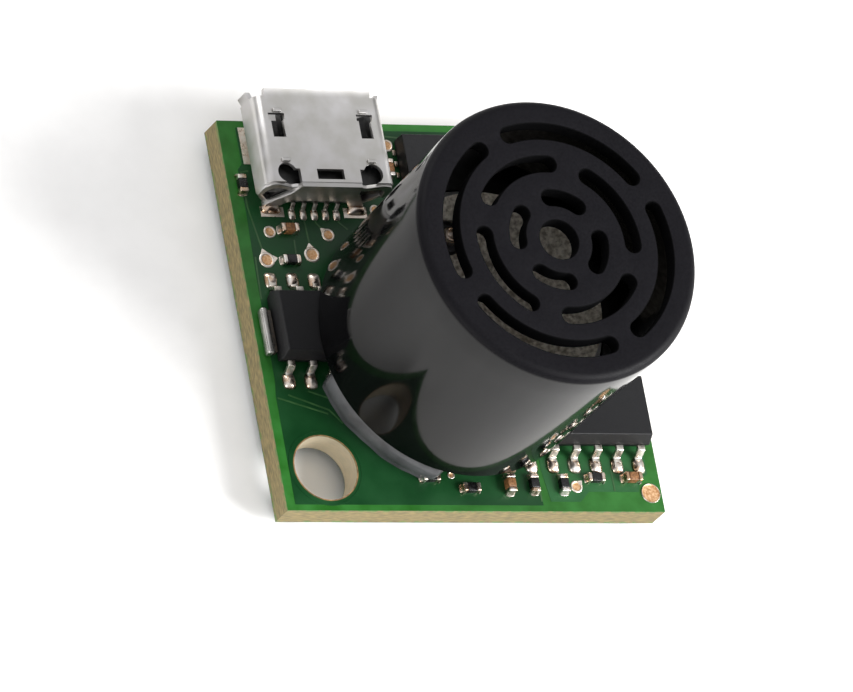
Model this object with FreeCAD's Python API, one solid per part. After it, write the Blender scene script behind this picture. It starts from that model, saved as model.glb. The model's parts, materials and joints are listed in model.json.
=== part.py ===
import FreeCAD, Part
import math
import os

# Ultrasonic distance sensor: a square circuit board that carries an open-faced
# ultrasonic transducer, a micro-USB receptacle, three chips and small passives.
#
# Everything is drawn in board coordinates: x and y from the board's lower-left
# corner, z from its component face. save() moves a shape into the part's frame,
# whose origin lies on the back face, midway between the two mounting holes.

# ---- driving dimensions, millimetres ------------------------------------------
board_side = 22.1            # 0.870 inch square
board_thickness = 1.57
mask_thickness = 0.03
hole_radius = 1.79
hole_inset_x = 2.64
hole_inset_y = 2.39

axis_x = 10.55               # transducer axis
axis_y = 8.98
base_z = 1.6                 # underside of the transducer, clear of the chips
top_z = 14.5                 # flat front face of the transducer
base_radius = 7.68
rim_radius = 7.92
rim_round = 0.65
bore_radius = 7.0
grille_thickness = 0.85

slot_width = 0.9
centre_hole_radius = 1.1
# each ring of slots: radius, angle of the first slot, half the angle it spans
grille_rings = ((2.35, 72.5, 20.0), (4.25, 27.0, 30.0), (6.1, 71.5, 35.5))

terminal_radius = 4.1        # the two terminals stand this far from the axis
terminal_angle = 117.0
pin_radius = 0.25
post_radius = 0.85
post_top_z = 6.5

usb_x = 4.68                 # middle of the receptacle
usb_rear_y = 17.45
usb_front_y = 22.35
usb_half_width = 3.72
usb_height = 2.65
sheet = 0.25
contact_pitch = 0.65

lead_pitch = 1.27
soic_width = 3.9
soic_span = 6.0
soic_height = 1.5

UP = FreeCAD.Vector(0, 0, 1)
os.makedirs("parts", exist_ok=True)


def save(name, shape):
    """Move from board coordinates to the part's frame and write NAME.step."""
    moved = shape.copy()
    half = board_side / 2
    moved.translate(FreeCAD.Vector(-half, -half, board_thickness))
    moved.exportStep("parts/" + name + ".step")


def box(x0, y0, z0, x1, y1, z1):
    """A box from its lowest corner to its highest."""
    return Part.makeBox(x1 - x0, y1 - y0, z1 - z0, FreeCAD.Vector(x0, y0, z0))


def rod(x, y, z0, z1, radius):
    """An upright cylinder between two heights."""
    return Part.makeCylinder(radius, z1 - z0, FreeCAD.Vector(x, y, z0))


def ring(x, y, z0, z1, outer, inner):
    """An upright tube between two heights."""
    return rod(x, y, z0, z1, outer).cut(rod(x, y, z0, z1, inner))


def group(solids):
    """Several separate solids as one shape."""
    return Part.makeCompound(solids)


def outline(points):
    """A closed wire of straight edges through the points."""
    corners = [FreeCAD.Vector(*point) for point in points]
    return Part.makePolygon(corners + corners[:1])


def prism(points, direction):
    """A flat outline pushed along a direction."""
    return Part.Face(outline(points)).extrude(FreeCAD.Vector(*direction))


def turned(profile):
    """An (r, z) profile spun about the transducer's axis."""
    points = [(axis_x + radius, axis_y, z) for radius, z in profile]
    face = Part.Face(outline(points))
    return face.revolve(FreeCAD.Vector(axis_x, axis_y, 0), UP, 360)


def around_axis(radius, angle):
    """The (x, y) place at a radius and an angle about the transducer's axis."""
    turn = math.radians(angle)
    return axis_x + radius * math.cos(turn), axis_y + radius * math.sin(turn)


hole_places = (
    (hole_inset_x, hole_inset_y),
    (board_side - hole_inset_x, board_side - hole_inset_y),
)
terminal_places = [
    around_axis(terminal_radius, terminal_angle + turn) for turn in (0, 180)
]


# ---- circuit board --------------------------------------------------------------
def board_slab(z0, z1, pin_clearance):
    """A slice of the board with its mounting holes and its two pin holes."""
    slab = box(0, 0, z0, board_side, board_side, z1)
    for x, y in hole_places:
        slab = slab.cut(rod(x, y, z0, z1, hole_radius))
    for x, y in terminal_places:
        slab = slab.cut(rod(x, y, z0, z1, pin_clearance))
    return slab


laminate_low = -board_thickness + mask_thickness
save("circuit_board", board_slab(laminate_low, -mask_thickness, pin_radius))
save("solder_mask_top", board_slab(-mask_thickness, 0, 0.5))
save("solder_mask_back", board_slab(-board_thickness, laminate_low, 0.5))

# ---- bare copper pads and vias: (x, y, radius) ------------------------------------
round_pads = (
    (1.44, 14.14, 0.45), (4.12, 14.48, 0.45), (5.28, 15.62, 0.37),
    (1.9, 15.74, 0.35), (9.74, 20.84, 0.35), (8.3, 17.1, 0.3),
    (17.1, 1.4, 0.35), (9.84, 2.0, 0.2), (21.44, 1.04, 0.55),
)
pad_height = 0.05
save("round_pads", group([rod(x, y, 0, pad_height, r) for x, y, r in round_pads]))


# ---- chips with gull-wing leads -----------------------------------------------------
def chip_body(x0, y0, x1, y1, z0, z1, bevel_x, bevel_y):
    """A moulded body, widest half way up, with sides that slope in to both faces."""
    middle = z0 + 0.45 * (z1 - z0)

    def level(z, inset):
        dx = inset * bevel_x
        dy = inset * bevel_y
        return outline([
            (x0 + dx, y0 + dy, z), (x1 - dx, y0 + dy, z),
            (x1 - dx, y1 - dy, z), (x0 + dx, y1 - dy, z),
        ])

    lower = Part.makeLoft([level(z0, 0.6), level(middle, 0)], True, True)
    upper = Part.makeLoft([level(middle, 0), level(z1, 1)], True, True)
    return lower.fuse(upper).removeSplitter()


def gull_lead(x, body_y, foot_y, width):
    """A bent lead from the body's side down to a foot flat on the board."""
    way = 1 if foot_y > body_y else -1
    reach = abs(foot_y - body_y)
    thick = 0.2
    high = 0.72
    profile = (
        (0, high), (0.3, high), (0.52, thick), (reach, thick),
        (reach, 0), (0.36, 0), (0.17, high - thick), (0, high - thick),
    )
    points = [(x - width / 2, body_y + way * y, z) for y, z in profile]
    lead = prism(points, (width, 0, 0))
    bends = []
    for edge in lead.Edges:
        middle = edge.CenterOfMass
        out = way * (middle.y - body_y)
        along_x = abs(edge.Vertexes[0].Point.x - edge.Vertexes[-1].Point.x) > 0.1
        if along_x and 0.1 < out < 0.6:
            bends.append(edge)
    return lead.makeFillet(0.08, bends)


def soic(name, x_middle, y_middle, pins_a_side, length):
    """A small-outline chip: its body, its leads and the solder at each foot."""
    half = soic_width / 2
    y0 = y_middle - half
    y1 = y_middle + half
    body = chip_body(
        x_middle - length / 2, y0, x_middle + length / 2, y1,
        0.12, soic_height, 0.12, 0.28,
    )
    leads = []
    joints = []
    first_x = x_middle - lead_pitch * (pins_a_side - 1) / 2
    for pin in range(pins_a_side):
        x = first_x + pin * lead_pitch
        for way, side_y in ((-1, y0), (1, y1)):
            foot_y = y_middle + way * soic_span / 2
            leads.append(gull_lead(x, side_y, foot_y, 0.42))
            toe = sorted((foot_y, foot_y + way * 0.22))
            joints.append(prism(
                [(x - 0.3, toe[0], 0), (x + 0.3, toe[0], 0),
                 (x + 0.3, toe[1], 0), (x - 0.3, toe[1], 0)],
                (0, 0, 0.16),
            ))
    save(name + "_body", body)
    save(name + "_leads", group(leads))
    save(name + "_solder", group(joints))


soic("left_chip", 3.33, 10.1, 4, 4.9)
soic("right_chip", 17.2, 5.45, 7, 8.65)

# ---- flat no-lead chip beside the receptacle -----------------------------------------
flat_chip_x = 10.15
flat_chip_y = 17.1
flat_chip_side = 4.0
flat_chip_height = 1.05
flat_pads = 5
flat_pitch = 0.65
flat_pad_reach = 0.18
save("flat_chip_body", chip_body(
    flat_chip_x, flat_chip_y, flat_chip_x + flat_chip_side, flat_chip_y + flat_chip_side,
    0.05, flat_chip_height, 0.03, 0.03,
))
edge_pads = []
for pad in range(flat_pads):
    along = flat_chip_side / 2 + (pad - (flat_pads - 1) / 2) * flat_pitch
    for start in (-0.02 - flat_pad_reach, flat_chip_side + 0.02):
        edge_pads.append(box(
            flat_chip_x + start, flat_chip_y + along - 0.15, 0,
            flat_chip_x + start + flat_pad_reach, flat_chip_y + along + 0.15, 0.14,
        ))
        edge_pads.append(box(
            flat_chip_x + along - 0.15, flat_chip_y + start, 0,
            flat_chip_x + along + 0.15, flat_chip_y + start + flat_pad_reach, 0.14,
        ))
save("flat_chip_pads", group(edge_pads))

# ---- resonator at the board's left edge, beside the left chip ---------------------------
can_x = 0.26
can_y0 = 8.6
can_y1 = 11.2
can = box(can_x, can_y0, 0.06, can_x + 0.38, can_y1, 0.62)
save("resonator_can", can.makeFillet(0.12, can.Edges))
save("resonator_base", box(can_x + 0.39, can_y0 + 0.12, 0.02, 0.86, can_y1 - 0.12, 0.5))

# ---- chip resistors and chip capacitors ---------------------------------------------------
# each place: x, y, and whether the part lies along y
resistor_places = (
    (2.78, 14.1, False), (8.55, 1.85, False), (10.8, 1.25, False),
    (14.55, 1.5, True), (16.3, 1.5, True), (18.25, 1.85, False),
    (0.74, 18.4, True),
)
capacitor_places = (
    (2.95, 15.85, False), (13.1, 1.45, True), (20.4, 1.85, False), (9.45, 19.4, True),
)
chip_length = 1.0
chip_width = 0.5
cap_length = 0.24
resistor_height = 0.36
capacitor_height = 0.5
fillet_reach = 0.16


def block(place, from_end, to_end, half_width, height):
    """A box along a passive's length, counted from its middle."""
    x, y, upright = place
    if upright:
        return box(x - half_width, y + from_end, 0, x + half_width, y + to_end, height)
    return box(x + from_end, y - half_width, 0, x + to_end, y + half_width, height)


def passives(name, places, height):
    """The ceramic bodies of like passives, and their plated ends."""
    half = chip_length / 2
    inner = half - cap_length
    side = chip_width / 2
    bodies = []
    for place in places:
        bodies.append(block(place, -inner, inner, side - 0.01, height))
        for start in (-half, inner):
            plated_ends.append(block(place, start, start + cap_length, side, height + 0.02))
        for start in (-half - fillet_reach, half):
            end_solder.append(block(place, start, start + fillet_reach, side, 0.2))
    save(name, group(bodies))
    return bodies


plated_ends = []
end_solder = []
resistors = passives("chip_resistors", resistor_places, resistor_height)
passives("chip_capacitors", capacitor_places, capacitor_height)
save("passive_end_caps", group(plated_ends))
save("passive_solder", group(end_solder))

# ---- micro-USB receptacle ---------------------------------------------------------------------
usb_floor = 0.06
usb_low_half = 2.9
usb_knee_z = 1.05
corner = 0.5


def usb_profile(y):
    """The shell's outline across its width: round top corners, sloping lower ones."""
    def at(x, z):
        return FreeCAD.Vector(usb_x + x, y, z)

    wide = usb_half_width
    top = usb_height
    bow = corner * (1 - math.sqrt(0.5))
    edges = [
        Part.LineSegment(at(-usb_low_half, usb_floor), at(usb_low_half, usb_floor)),
        Part.LineSegment(at(usb_low_half, usb_floor), at(wide, usb_knee_z)),
        Part.LineSegment(at(wide, usb_knee_z), at(wide, top - corner)),
        Part.Arc(at(wide, top - corner), at(wide - bow, top - bow), at(wide - corner, top)),
        Part.LineSegment(at(wide - corner, top), at(corner - wide, top)),
        Part.Arc(at(corner - wide, top), at(bow - wide, top - bow), at(-wide, top - corner)),
        Part.LineSegment(at(-wide, top - corner), at(-wide, usb_knee_z)),
        Part.LineSegment(at(-wide, usb_knee_z), at(-usb_low_half, usb_floor)),
    ]
    return Part.Wire([edge.toShape() for edge in edges])


def mirrored(solid):
    """The same solid on the other side of the receptacle's middle."""
    return solid.mirror(FreeCAD.Vector(usb_x, 0, 0), FreeCAD.Vector(1, 0, 0))


usb_depth = FreeCAD.Vector(0, usb_front_y - usb_rear_y, 0)
outer = Part.Face(usb_profile(usb_rear_y)).extrude(usb_depth)
inner_wire = usb_profile(usb_rear_y).makeOffset2D(-sheet)
inner = Part.Face(inner_wire).extrude(usb_depth)
shell = outer.cut(inner)

# latch windows near the mouth: a T, wider towards the mouth
roof_low = usb_height - 0.6
roof_high = usb_height + 0.1
window = box(usb_x - 3.03, 21.0, roof_low, usb_x - 2.1, 21.37, roof_high)
window = window.fuse(box(usb_x - 2.92, 20.0, roof_low, usb_x - 2.2, 21.05, roof_high))
# rear: a middle slot, and a round-ended opening at each side that runs out behind
middle_slot = box(usb_x - 0.78, 17.62, roof_low, usb_x + 0.78, 18.2, roof_high)
side_gap = rod(usb_x - 2.5, 17.98, roof_low, roof_high, 0.55)
side_gap = side_gap.fuse(box(usb_x - 2.5, 17.4, roof_low, usb_x - 1.75, 18.2, roof_high))
shell = shell.cut(middle_slot)
for opening in (window, side_gap):
    shell = shell.cut(opening).cut(mirrored(opening))

# the roof's rear flap folds down in an arch and ends in two soldered feet
arch = (
    (-1.75, usb_height - 0.05), (1.75, usb_height - 0.05), (1.95, 1.7), (2.75, 0.45),
    (2.95, 0.02), (2.1, 0.02), (1.6, 0.8), (-1.6, 0.8),
    (-2.1, 0.02), (-2.95, 0.02), (-2.75, 0.45), (-1.95, 1.7),
)
arch_points = [(usb_x + x, usb_rear_y - sheet, z) for x, z in arch]
shell = shell.fuse(prism(arch_points, (0, sheet + 0.02, 0)))

# flared lips round the mouth
lip_reach = 0.38
lip_rise = 0.14
lip_half = 3.1
lip = prism(
    [(usb_x - lip_half, usb_front_y - 0.02, usb_height - sheet),
     (usb_x - lip_half, usb_front_y + lip_reach, usb_height - sheet + lip_rise),
     (usb_x - lip_half, usb_front_y + lip_reach, usb_height + lip_rise),
     (usb_x - lip_half, usb_front_y - 0.02, usb_height)],
    (2 * lip_half, 0, 0),
)
ear = prism(
    [(usb_x - usb_half_width, usb_front_y - 0.02, 1.2),
     (usb_x - usb_half_width - 0.16, usb_front_y + lip_reach, 1.2),
     (usb_x - usb_half_width - 0.16 + sheet, usb_front_y + lip_reach, 1.2),
     (usb_x - usb_half_width + sheet, usb_front_y - 0.02, 1.2)],
    (0, 0, 0.95),
)
shell = shell.fuse([lip, ear, mirrored(ear)])
save("usb_shell", shell)

# spring fingers seen at the end of each opening
fingers = []
for y0, y1 in ((21.4, 21.62), (18.56, 18.78)):
    finger = box(usb_x - 2.75, y0, usb_height + 0.01, usb_x - 2.25, y1, usb_height + 0.13)
    finger = finger.makeFillet(0.05, finger.Edges)
    fingers.extend([finger, mirrored(finger)])
save("usb_spring_fingers", group(fingers))

# plastic core: a rear block and the tongue that holds the contacts
usb_inside = usb_half_width - sheet - 0.06
block_low = usb_knee_z + 0.02
core = box(usb_x - usb_inside, 17.52, block_low, usb_x + usb_inside, 19.1, usb_height - 0.65)
core = core.fuse(box(usb_x - 2.6, 17.52, 0.34, usb_x + 2.6, 19.1, block_low))
core = core.fuse(box(usb_x - 1.9, 19.0, 1.25, usb_x + 1.9, 21.9, 1.85))
contacts = []
tail_joints = []
for number in range(5):
    x = usb_x + (number - 2) * contact_pitch
    contacts.append(box(x - 0.12, 18.0, 1.13, x + 0.12, 21.7, 1.25))
    tail = prism(
        [(x - 0.11, 17.5, 0.45), (x - 0.11, 17.2, 0.45), (x - 0.11, 17.0, 0.14),
         (x - 0.11, 16.6, 0.14), (x - 0.11, 16.6, 0.0), (x - 0.11, 17.07, 0.0),
         (x - 0.11, 17.27, 0.31), (x - 0.11, 17.5, 0.31)],
        (0.22, 0, 0),
    )
    tail_joints.append(box(x - 0.17, 16.42, 0, x + 0.17, 16.6, 0.08))
    contacts.append(tail)
for contact in contacts:
    core = core.cut(contact)
save("usb_insulator", core)
save("usb_contacts", group(contacts))
save("usb_contact_solder", group(tail_joints))

# solder pads under the shell's feet and along its sides
foot_pad = box(usb_x - 3.1, 16.6, 0, usb_x - 1.75, 17.18, pad_height)
side_pad = box(usb_x - 3.55, 19.6, 0, usb_x - 3.05, 21.7, pad_height)
save("usb_pads", group([foot_pad, mirrored(foot_pad), side_pad, mirrored(side_pad)]))
foot_joint = prism(
    [(usb_x - 2.95, 16.75, pad_height), (usb_x - 2.1, 16.75, pad_height),
     (usb_x - 2.1, 17.18, pad_height), (usb_x - 2.95, 17.18, pad_height)],
    (0, 0, 0.25),
)
save("usb_foot_solder", group([foot_joint, mirrored(foot_joint)]))

# ---- transducer housing with its grille ------------------------------------------------------
rim_z = top_z - rim_round
fall = rim_round * (1 - math.sqrt(0.5))


def ring_slot(radius, angle, half_span):
    """A slot bent along a circle about the axis, with round ends."""
    half = slot_width / 2
    low = top_z - grille_thickness - 0.1
    tall = grille_thickness + 0.2
    tube = ring(axis_x, axis_y, low, low + tall, radius + half, radius - half)
    reach = radius * 2
    wedge_points = [(axis_x, axis_y, low)]
    for step in (-1, -0.5, 0, 0.5, 1):
        wedge_points.append(around_axis(reach, angle + step * half_span) + (low,))
    slot = tube.common(prism(wedge_points, (0, 0, tall)))
    for end in (-half_span, half_span):
        x, y = around_axis(radius, angle + end)
        slot = slot.fuse(rod(x, y, low, low + tall, half))
    return slot


def housing():
    """A cup with a rounded front edge, open behind, and a slotted front face."""
    def at(radius, z):
        return FreeCAD.Vector(axis_x + radius, axis_y, z)

    low_bore = bore_radius - 0.1
    inside_z = top_z - grille_thickness
    edges = [
        Part.LineSegment(at(low_bore, base_z), at(base_radius, base_z)),
        Part.LineSegment(at(base_radius, base_z), at(rim_radius, rim_z)),
        Part.Arc(at(rim_radius, rim_z), at(rim_radius - fall, top_z - fall),
                 at(rim_radius - rim_round, top_z)),
        Part.LineSegment(at(rim_radius - rim_round, top_z), at(0, top_z)),
        Part.LineSegment(at(0, top_z), at(0, inside_z)),
        Part.LineSegment(at(0, inside_z), at(bore_radius, inside_z)),
        Part.LineSegment(at(bore_radius, inside_z), at(low_bore, base_z)),
    ]
    face = Part.Face(Part.Wire([edge.toShape() for edge in edges]))
    cup = face.revolve(FreeCAD.Vector(axis_x, axis_y, 0), UP, 360)
    cup = cup.cut(rod(axis_x, axis_y, inside_z - 0.1, top_z + 0.1, centre_hole_radius))
    for radius, angle, half_span in grille_rings:
        for quarter in range(4):
            cup = cup.cut(ring_slot(radius, angle + 90 * quarter, half_span))
    return cup


save("transducer_housing", housing())

# ---- inside the transducer ----------------------------------------------------------------------
inner_radius = bore_radius - 0.12
base_plate_top = 3.0
seal_low = 4.6
bender_low = 5.2
cone_low = 5.45
cone_rim_radius = 6.0
cone_rim_z = 7.1
piezo_radius = 3.0
bender_radius = 4.6


def clear_of_posts(solid, radius, places=terminal_places):
    """Cut a round way through a solid for each terminal."""
    for x, y in places:
        solid = solid.cut(rod(x, y, 0, top_z, radius))
    return solid


base_plate = rod(axis_x, axis_y, base_z, base_plate_top, inner_radius)
save("transducer_base", clear_of_posts(base_plate, pin_radius))
support = ring(axis_x, axis_y, base_plate_top, seal_low, inner_radius, 5.3)
save("support_ring", support)
seal = ring(axis_x, axis_y, seal_low, bender_low, inner_radius, 3.15)
save("silicone_seal", clear_of_posts(seal, post_radius))
bender = rod(axis_x, axis_y, bender_low, cone_low, bender_radius)
save("bender_plate", clear_of_posts(bender, post_radius + 0.05))
save("piezo_disc", rod(axis_x, axis_y, bender_low - 0.4, bender_low, piezo_radius))
cone = turned((
    (0, cone_low), (1.2, cone_low), (cone_rim_radius, cone_rim_z - 0.2),
    (cone_rim_radius, cone_rim_z), (1.2, cone_low + 0.2), (0, cone_low + 0.2),
))
save("cone_resonator", clear_of_posts(cone, post_radius + 0.05))

posts = []
pins = []
solder_tops = []
solder_backs = []
wires = []
wire_radius = 0.12
wire_z = 4.1
wire_inner = 2.2
for number, (x, y) in enumerate(terminal_places):
    post = ring(x, y, base_plate_top, post_top_z, post_radius, pin_radius)
    posts.append(post.makeFillet(0.15, [post.Edges[0]]))
    pins.append(rod(x, y, -board_thickness - 0.75, post_top_z + 0.05, pin_radius))
    dome = Part.makeSphere(0.5, FreeCAD.Vector(x, y, post_top_z))
    dome = dome.common(box(x - 1, y - 1, post_top_z, x + 1, y + 1, post_top_z + 1))
    solder_tops.append(dome.cut(pins[-1]))
    joint = Part.makeCone(0.3, 0.75, 0.6, FreeCAD.Vector(x, y, -board_thickness - 0.6))
    solder_backs.append(joint.cut(pins[-1]))
    angle = terminal_angle + 180 * number
    start = around_axis(terminal_radius - post_radius, angle)
    turn = around_axis(wire_inner, angle)
    run = terminal_radius - post_radius - wire_inner
    heading = FreeCAD.Vector(turn[0] - start[0], turn[1] - start[1], 0)
    level = Part.makeCylinder(wire_radius, run, FreeCAD.Vector(*start, wire_z), heading)
    riser = rod(turn[0], turn[1], wire_z, bender_low - 0.4, wire_radius)
    elbow = Part.makeSphere(wire_radius, FreeCAD.Vector(*turn, wire_z))
    wires.append(level.fuse([riser, elbow]))
save("terminal_posts", group(posts))
save("terminal_pins", group(pins))
save("terminal_solder", group(solder_tops))
save("back_solder_joints", group(solder_backs))
save("lead_wires", group(wires))

# ---- adhesive bead that carries the transducer above the board --------------------------------------
bead_start = 204
bead_end = 257
bead_outer = base_radius - 0.02
bead_inner = 6.0
bead = ring(axis_x, axis_y, 0, base_z, bead_outer, bead_inner)
wedge = [(axis_x, axis_y, 0)]
for step in range(6):
    turn = bead_start + (bead_end - bead_start) * step / 5
    wedge.append(around_axis(2 * bead_outer, turn) + (0,))
bead = bead.common(prism(wedge, (0, 0, base_z)))
for covered in resistors + plated_ends + end_solder:
    if bead.BoundBox.intersect(covered.BoundBox):
        bead = bead.cut(covered)
save("adhesive_bead", bead)
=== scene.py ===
import json
import math

import bmesh
import bpy
import numpy as np
from mathutils import Matrix, Vector
from mathutils.geometry import delaunay_2d_cdt

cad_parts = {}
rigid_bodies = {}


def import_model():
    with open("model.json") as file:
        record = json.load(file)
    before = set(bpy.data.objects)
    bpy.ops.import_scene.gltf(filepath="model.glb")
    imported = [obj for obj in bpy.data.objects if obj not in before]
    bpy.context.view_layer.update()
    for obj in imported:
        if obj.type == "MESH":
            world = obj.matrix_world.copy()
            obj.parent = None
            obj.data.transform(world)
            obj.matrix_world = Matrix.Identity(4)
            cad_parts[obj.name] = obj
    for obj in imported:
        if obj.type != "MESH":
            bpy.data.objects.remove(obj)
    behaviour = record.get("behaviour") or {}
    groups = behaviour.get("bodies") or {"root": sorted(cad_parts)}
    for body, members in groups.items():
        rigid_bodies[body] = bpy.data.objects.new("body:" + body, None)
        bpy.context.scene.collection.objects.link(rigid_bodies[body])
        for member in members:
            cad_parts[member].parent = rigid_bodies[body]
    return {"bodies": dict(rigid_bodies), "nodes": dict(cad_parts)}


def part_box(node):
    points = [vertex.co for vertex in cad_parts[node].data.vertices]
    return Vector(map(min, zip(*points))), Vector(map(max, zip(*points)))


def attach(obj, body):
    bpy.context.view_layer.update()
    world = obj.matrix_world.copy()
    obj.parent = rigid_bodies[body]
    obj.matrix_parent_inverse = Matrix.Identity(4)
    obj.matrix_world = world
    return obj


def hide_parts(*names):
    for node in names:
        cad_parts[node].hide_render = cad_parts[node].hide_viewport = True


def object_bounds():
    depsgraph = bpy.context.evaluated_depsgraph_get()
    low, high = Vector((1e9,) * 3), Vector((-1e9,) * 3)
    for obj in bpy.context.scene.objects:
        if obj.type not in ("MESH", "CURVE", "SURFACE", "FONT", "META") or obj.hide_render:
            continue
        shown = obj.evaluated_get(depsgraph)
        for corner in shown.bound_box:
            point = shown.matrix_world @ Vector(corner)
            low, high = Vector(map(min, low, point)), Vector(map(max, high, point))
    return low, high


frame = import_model()
cad_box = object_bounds()

# ---- Camera ------------------------------------------------------------------
# A long lens looks down over the board's lower-left corner and is rolled, so
# that the transducer points up to the right.
MM = 0.001
board_low, board_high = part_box("circuit_board")
face_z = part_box("solder_mask_top")[1].z


def on_board(x, y, z=0.0):
    """A place in metres from millimetres: x and y from the board's lower-left
    corner, z above its component face."""
    return Vector((board_low.x + x * MM, board_low.y + y * MM, face_z + z * MM))


heading = math.radians(38.34)
dip = math.radians(54.48)
roll = math.radians(46.5)
camera_distance = 563.7 * MM
lens_length = 455.3
far_limit = 10
ahead = Vector((
    math.cos(dip) * math.cos(heading), math.cos(dip) * math.sin(heading), -math.sin(dip),
))
level_right = ahead.cross(Vector((0, 0, 1))).normalized()
right = Matrix.Rotation(-roll, 3, ahead) @ level_right
above = right.cross(ahead)
camera_data = bpy.data.cameras.new("camera")
camera_data.lens = lens_length
camera_data.clip_end = far_limit
camera = bpy.data.objects.new("camera", camera_data)
bpy.context.scene.collection.objects.link(camera)
turn = Matrix((right, above, -ahead)).transposed()
aim = on_board(9.85, 9.35)
camera.matrix_world = Matrix.Translation(aim - ahead * camera_distance) @ turn.to_4x4()
bpy.context.scene.camera = camera
bpy.context.scene.view_settings.view_transform = "Standard"

# ---- Studio ------------------------------------------------------------------
# A pale matte table under the board. The main soft light stands to its right,
# weaker ones beyond its top and left edges, and the room is dark low down.


def srgb(code):
    """An sRGB hex colour as linear red, green, blue and alpha: each channel is
    c / 12.92 when dark and ((c + 0.055) / 1.055) ** 2.4 otherwise."""
    c = np.array([int(code[at:at + 2], 16) for at in (1, 3, 5)]) / 255
    linear = np.where(c <= 0.04045, c / 12.92, ((c + 0.055) / 1.055) ** 2.4)
    return (*linear.tolist(), 1.0)


def add_node(owner, kind, inputs=None, **settings):
    """Adds a shader node to a material or world. Settings are its properties;
    an input is a value, or an output socket to link from."""
    node = owner.node_tree.nodes.new(kind)
    for name, value in settings.items():
        setattr(node, name, value)
    for name, value in (inputs or {}).items():
        if isinstance(value, bpy.types.NodeSocket):
            owner.node_tree.links.new(value, node.inputs[name])
        else:
            node.inputs[name].default_value = value
    return node


def new_finish(name, colour, roughness, metallic=0.0, ior=1.5):
    """A Principled material and its shader node, from a hex colour."""
    material = bpy.data.materials.new(name)
    material.use_nodes = True
    shader = material.node_tree.nodes["Principled BSDF"]
    shader.inputs["Base Color"].default_value = srgb(colour)
    shader.inputs["Roughness"].default_value = roughness
    shader.inputs["Metallic"].default_value = metallic
    shader.inputs["IOR"].default_value = ior
    return material, shader


def grain(material, shader, size, depth, rough, colours, stretch=(1, 1, 1)):
    """Noise in Object coordinates: blotches of one size in millimetres that
    shift the colour between two, the roughness between two, and the surface
    by a depth in millimetres. The colour's socket is returned."""
    low_noise, high_noise = 0.35, 0.65
    where = add_node(material, "ShaderNodeTexCoord").outputs["Object"]
    placed = add_node(material, "ShaderNodeMapping", {"Vector": where, "Scale": stretch})
    noise = add_node(material, "ShaderNodeTexNoise", {
        "Vector": placed.outputs["Vector"], "Scale": 1 / (size * MM), "Detail": 5.0,
    })
    value = noise.outputs["Fac"]
    spread = add_node(material, "ShaderNodeMapRange", {
        "Value": value, "From Min": low_noise, "From Max": high_noise,
        "To Min": rough[0], "To Max": rough[1],
    })
    tint = add_node(material, "ShaderNodeValToRGB", {"Fac": value})
    for stop, position, colour in zip(tint.color_ramp.elements, (low_noise, high_noise), colours):
        stop.position = position
        stop.color = srgb(colour)
    bump = add_node(material, "ShaderNodeBump", {"Height": value, "Distance": depth * MM})
    link = material.node_tree.links.new
    link(spread.outputs["Result"], shader.inputs["Roughness"])
    link(tint.outputs["Color"], shader.inputs["Base Color"])
    link(bump.outputs["Normal"], shader.inputs["Normal"])
    return tint.outputs["Color"]


def new_piece(name, points, faces, materials, groups=None, smooth=True):
    """An object from an array of points in metres and its faces. groups gives
    each face the number of its material."""
    mesh = bpy.data.meshes.new(name)
    mesh.from_pydata(np.asarray(points, float).tolist(), [], [list(f) for f in faces])
    for material in materials:
        mesh.materials.append(material)
    mesh.polygons.foreach_set("use_smooth", [smooth] * len(mesh.polygons))
    if groups is not None:
        mesh.polygons.foreach_set("material_index", np.asarray(groups, dtype=np.int32))
    mesh.update()
    made = bpy.data.objects.new(name, mesh)
    bpy.context.scene.collection.objects.link(made)
    return made


floor_finish, floor_shader = new_finish("matte_paper_sweep", "#f4f3f1", 0.8)
grain(floor_finish, floor_shader, 3, 0.01, (0.75, 0.85), ("#f2f1ef", "#f7f6f4"))
floor_half = 450 * MM
floor_gap = 0.02 * MM
floor_z = cad_box[0][2] - floor_gap
floor = new_piece(
    "floor",
    [(x * floor_half, y * floor_half, floor_z) for x, y in ((-1, -1), (1, -1), (1, 1), (-1, 1))],
    [(0, 1, 2, 3)], [floor_finish], smooth=False,
)


def soft_light(name, toward, distance, size, power):
    """A square area light at a distance along a direction, facing the board.
    Distance and size are in metres, power is in watts."""
    data = bpy.data.lights.new(name, "AREA")
    data.size = size
    data.energy = power
    light = bpy.data.objects.new(name, data)
    way = Vector(toward).normalized()
    light.location = way * distance
    light.rotation_euler = way.to_track_quat("Z", "Y").to_euler()
    bpy.context.scene.collection.objects.link(light)


light_distance = 0.5
soft_light("key_light", (0.9, -0.5, 0.66), light_distance, 0.28, 4.8)
soft_light("back_light", (-0.3, 0.85, 0.6), light_distance, 0.26, 1.0)
soft_light("edge_fill", (-0.75, -0.6, 0.32), light_distance, 0.3, 1.0)

world = bpy.data.worlds.new("studio_room")
world.use_nodes = True
bpy.context.scene.world = world
sky_way = add_node(world, "ShaderNodeTexCoord").outputs["Generated"]
sky_height = add_node(world, "ShaderNodeSeparateXYZ", {"Vector": sky_way}).outputs["Z"]
sky = add_node(world, "ShaderNodeValToRGB", {"Fac": sky_height})
for stop, position, colour in zip(sky.color_ramp.elements, (0.0, 0.72), ("#2c2d30", "#dddddf")):
    stop.position = position
    stop.color = srgb(colour)
room = world.node_tree.nodes["Background"]
world.node_tree.links.new(sky.outputs["Color"], room.inputs["Color"])
room.inputs["Strength"].default_value = 1.0

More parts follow.
